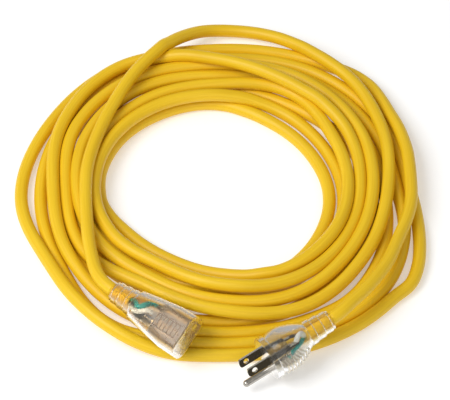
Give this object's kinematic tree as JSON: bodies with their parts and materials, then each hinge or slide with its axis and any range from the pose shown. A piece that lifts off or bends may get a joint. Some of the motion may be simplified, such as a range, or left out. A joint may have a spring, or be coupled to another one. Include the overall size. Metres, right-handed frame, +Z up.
{
  "type": "shore power cord",
  "caption": "Light shore power cord in a yellow jacket, wound into a loose flat coil, with a clear moulded plug and a clear moulded connector on its ends.",
  "frame": {"origin": "centre of the coil, on the surface that it lies on", "axes": "+Z up out of the coil's plane, -Y towards the plug and the connector, +X towards the side the plug's cable leaves by"},
  "size_m": [0.2892, 0.3253, 0.042],
  "materials": {
    "jacket": "satin flexible PVC",
    "clear_body": "clear flexible PVC",
    "insert": "moulded insert",
    "plated_brass": "nickel plate",
    "brass": "stamped strip",
    "line_insulation": "black insulation",
    "neutral_insulation": "white insulation",
    "ground_insulation": "green insulation",
    "copper": "bare copper strand",
    "lamp_glass": "clear glass envelope",
    "resistor_body": "lacquered body",
    "lead_wire": "tinned wire"
  },
  "bodies": {
    "root": {"cord_coil": "jacket", "cord_side_loop": "jacket", "plug_tail": "jacket", "connector_tail": "jacket", "plug_overmould": "clear_body", "plug_blade_bridge": "insert", "plug_line_blade": "plated_brass", "plug_neutral_blade": "plated_brass", "plug_ground_pin": "plated_brass", "plug_line_wire": "line_insulation", "plug_neutral_wire": "neutral_insulation", "plug_ground_wire": "ground_insulation", "plug_line_strands": "copper", "plug_neutral_strands": "copper", "plug_ground_strands": "copper", "plug_jacket_end": "jacket", "connector_overmould": "clear_body", "connector_contact_carrier": "insert", "connector_line_contact": "brass", "connector_neutral_contact": "brass", "connector_ground_contact": "brass", "connector_line_wire": "line_insulation", "connector_neutral_wire": "neutral_insulation", "connector_ground_wire": "ground_insulation", "connector_line_strands": "copper", "connector_neutral_strands": "copper", "connector_ground_strands": "copper", "connector_jacket_end": "jacket", "connector_lamp": "lamp_glass", "connector_lamp_resistor": "resistor_body", "connector_lamp_link_lead": "lead_wire", "connector_lamp_line_lead": "lead_wire", "connector_lamp_neutral_lead": "lead_wire"}
  },
  "joints": []
}
